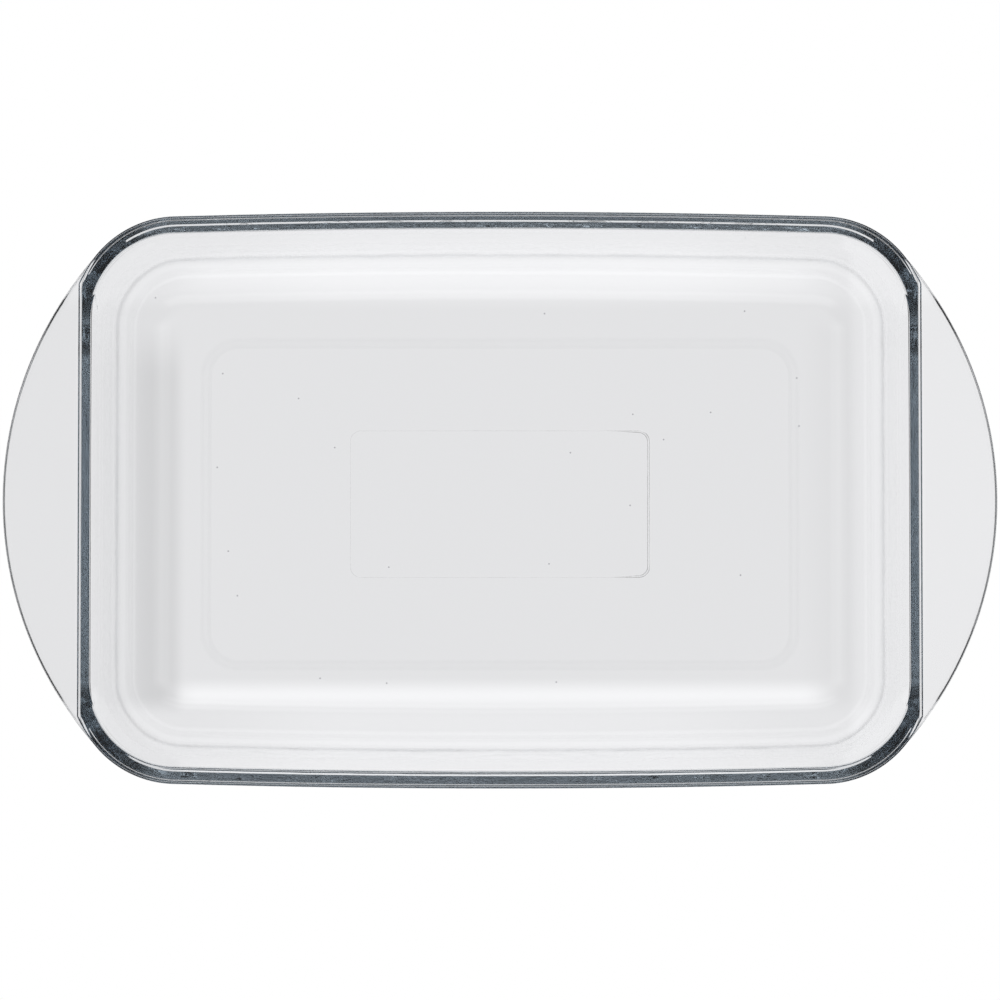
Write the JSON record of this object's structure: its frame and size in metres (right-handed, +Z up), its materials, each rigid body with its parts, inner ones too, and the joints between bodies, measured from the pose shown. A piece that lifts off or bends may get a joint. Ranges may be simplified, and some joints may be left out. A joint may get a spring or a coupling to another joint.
{
  "type": "glass baking dish",
  "caption": "Rectangular clear glass oven dish with bowed sides, rounded corners, a thick raised rim and a flat crescent handle at each end.",
  "frame": {"origin": "centre of the dish on the table, under its foot ring", "axes": "+X along the length, from one handle to the other; +Y across the width, to the back; +Z up, out of the dish"},
  "size_m": [0.35, 0.2028, 0.058],
  "materials": {
    "clear_glass": "clear pressed glass, fire-polished, slightly wavy"
  },
  "bodies": {
    "root": {"base_panel": "clear_glass", "foot_ring": "clear_glass", "wall_front": "clear_glass", "wall_back": "clear_glass", "wall_left": "clear_glass", "wall_right": "clear_glass", "corner_front_left": "clear_glass", "corner_front_right": "clear_glass", "corner_back_left": "clear_glass", "corner_back_right": "clear_glass", "rim_front": "clear_glass", "rim_back": "clear_glass", "rim_left": "clear_glass", "rim_right": "clear_glass", "rim_corner_front_left": "clear_glass", "rim_corner_front_right": "clear_glass", "rim_corner_back_left": "clear_glass", "rim_corner_back_right": "clear_glass", "handle_left": "clear_glass", "handle_right": "clear_glass"}
  },
  "joints": []
}
